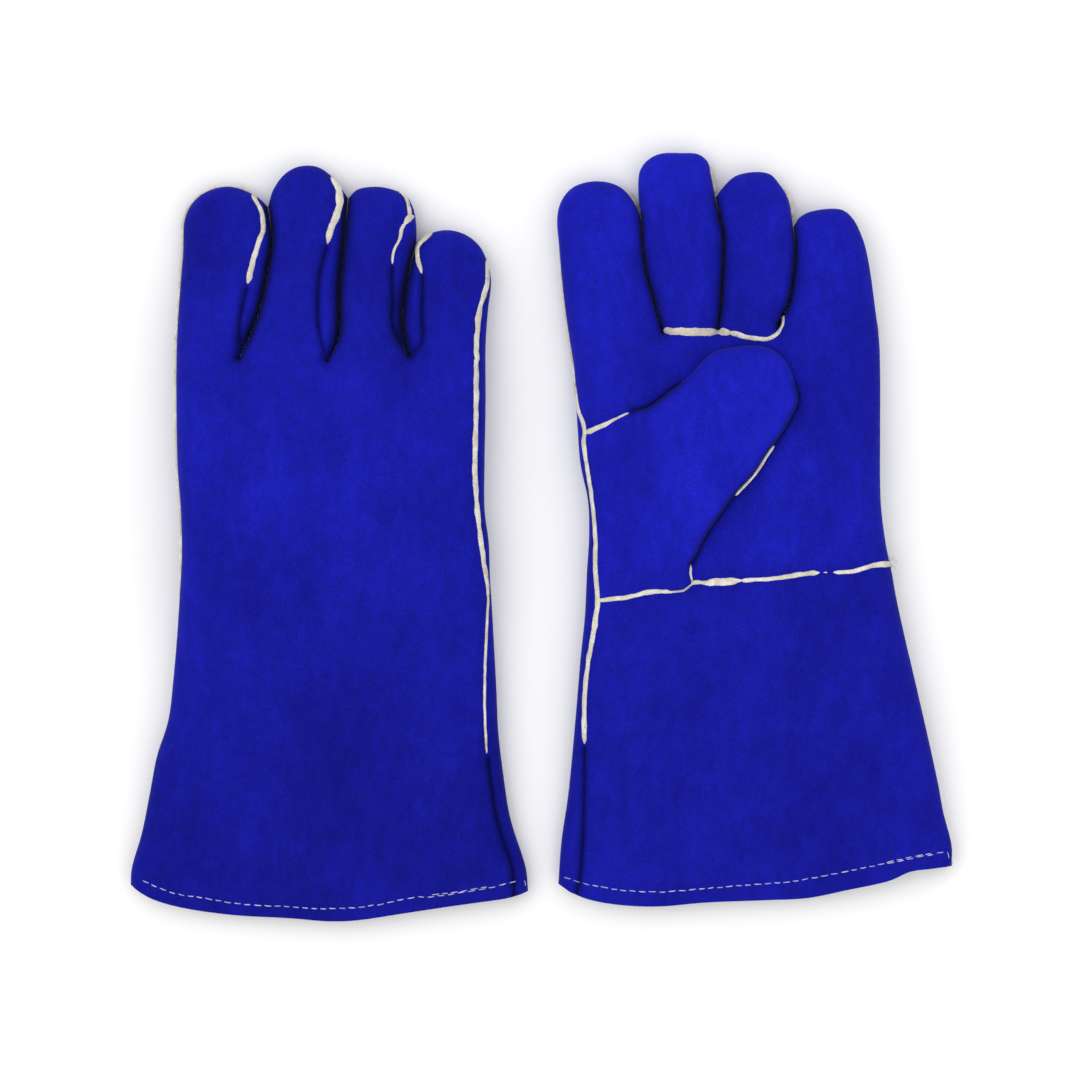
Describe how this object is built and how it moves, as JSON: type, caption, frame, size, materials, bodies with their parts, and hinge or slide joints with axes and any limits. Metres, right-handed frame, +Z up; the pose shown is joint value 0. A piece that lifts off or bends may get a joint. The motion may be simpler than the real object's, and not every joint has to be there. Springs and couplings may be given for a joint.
{
  "type": "welding gloves",
  "caption": "Pair of long-cuff lined split-leather welding gauntlets with contrasting welted seams, one lying back up and one palm up.",
  "frame": {"origin": "on the resting plane, under the middle of the pair's bounding box", "axes": "+X from the right-hand glove to the left-hand glove, across the fingers; +Y from the cuffs to the fingertips; +Z up, out of the table"},
  "size_m": [0.3884, 0.3638, 0.0397],
  "materials": {
    "suede": "blue split-leather suede, fine short nap, fully matte",
    "welt": "undyed cream leather strip, matte",
    "lining": "off-white brushed cotton",
    "thread": "pale heat-resistant sewing thread"
  },
  "bodies": {
    "right_hand": {"right_back_panel": "suede", "right_cuff_palm_panel": "suede", "right_finger_base_welt": "welt", "right_hand_lining": "lining", "right_little_side_welt": "welt", "right_palm_panel": "suede", "right_thumb_side_welt": "welt", "right_thumb_wing": "suede", "right_wrist_welt": "welt"},
    "right_index": {"right_index_back": "suede", "right_index_fourchette": "suede", "right_index_front": "suede", "right_index_welt": "welt"},
    "right_middle": {"right_middle_back": "suede", "right_middle_fourchette_index_side": "suede", "right_middle_fourchette_little_side": "suede", "right_middle_front": "suede", "right_middle_welt": "welt"},
    "right_ring": {"right_ring_back": "suede", "right_ring_fourchette_index_side": "suede", "right_ring_fourchette_little_side": "suede", "right_ring_front": "suede", "right_ring_welt": "welt"},
    "right_little": {"right_little_back": "suede", "right_little_fourchette": "suede", "right_little_front": "suede", "right_little_welt": "welt"},
    "right_thumb": {"right_thumb_back": "suede", "right_thumb_front": "suede", "right_thumb_welt": "welt"},
    "left_hand": {"left_back_panel": "suede", "left_cuff_palm_panel": "suede", "left_finger_base_welt": "welt", "left_hand_lining": "lining", "left_little_side_welt": "welt", "left_palm_panel": "suede", "left_thumb_side_welt": "welt", "left_thumb_wing": "suede", "left_wrist_welt": "welt"},
    "left_index": {"left_index_back": "suede", "left_index_fourchette": "suede", "left_index_front": "suede", "left_index_welt": "welt"},
    "left_middle": {"left_middle_back": "suede", "left_middle_fourchette_index_side": "suede", "left_middle_fourchette_little_side": "suede", "left_middle_front": "suede", "left_middle_welt": "welt"},
    "left_ring": {"left_ring_back": "suede", "left_ring_fourchette_index_side": "suede", "left_ring_fourchette_little_side": "suede", "left_ring_front": "suede", "left_ring_welt": "welt"},
    "left_little": {"left_little_back": "suede", "left_little_fourchette": "suede", "left_little_front": "suede", "left_little_welt": "welt"},
    "left_thumb": {"left_thumb_back": "suede", "left_thumb_front": "suede", "left_thumb_welt": "welt"}
  },
  "joints": [
    {"name": "left_glove_slide", "type": "slide", "parent": "right_hand", "child": "left_hand", "axis": [1, 0, 0], "range_m": [0, 0.06]},
    {"name": "right_index_knuckle", "type": "hinge", "parent": "right_hand", "child": "right_index", "pos_m": [-0.1515, 0.0838, 0.0327], "axis": [1, 0, 0], "range_deg": [0, 40]},
    {"name": "right_middle_knuckle", "type": "hinge", "parent": "right_hand", "child": "right_middle", "pos_m": [-0.1123, 0.0838, 0.0327], "axis": [1, 0, 0], "range_deg": [0, 40]},
    {"name": "right_ring_knuckle", "type": "hinge", "parent": "right_hand", "child": "right_ring", "pos_m": [-0.0783, 0.0838, 0.0327], "axis": [1, 0, 0], "range_deg": [0, 40]},
    {"name": "right_little_knuckle", "type": "hinge", "parent": "right_hand", "child": "right_little", "pos_m": [-0.0441, 0.0838, 0.0327], "axis": [1, 0, 0], "range_deg": [0, 40]},
    {"name": "left_index_knuckle", "type": "hinge", "parent": "left_hand", "child": "left_index", "pos_m": [0.0316, 0.0932, 0.024], "axis": [1, 0, 0], "range_deg": [0, 75]},
    {"name": "left_middle_knuckle", "type": "hinge", "parent": "left_hand", "child": "left_middle", "pos_m": [0.06775, 0.0932, 0.024], "axis": [1, 0, 0], "range_deg": [0, 75]},
    {"name": "left_ring_knuckle", "type": "hinge", "parent": "left_hand", "child": "left_ring", "pos_m": [0.10055, 0.0932, 0.024], "axis": [1, 0, 0], "range_deg": [0, 75]},
    {"name": "left_little_knuckle", "type": "hinge", "parent": "left_hand", "child": "left_little", "pos_m": [0.13855, 0.0932, 0.024], "axis": [1, 0, 0], "range_deg": [0, 75]},
    {"name": "right_thumb_swing", "type": "hinge", "parent": "right_hand", "child": "right_thumb", "pos_m": [-0.1423, 0.0035, 0], "axis": [0, 0, 1], "range_deg": [0, 85]},
    {"name": "left_thumb_fold", "type": "hinge", "parent": "left_hand", "child": "left_thumb", "pos_m": [0.0574, 0.0208, 0.0267], "axis": [0.3453, -0.9385, 0], "range_deg": [0, 90]}
  ]
}
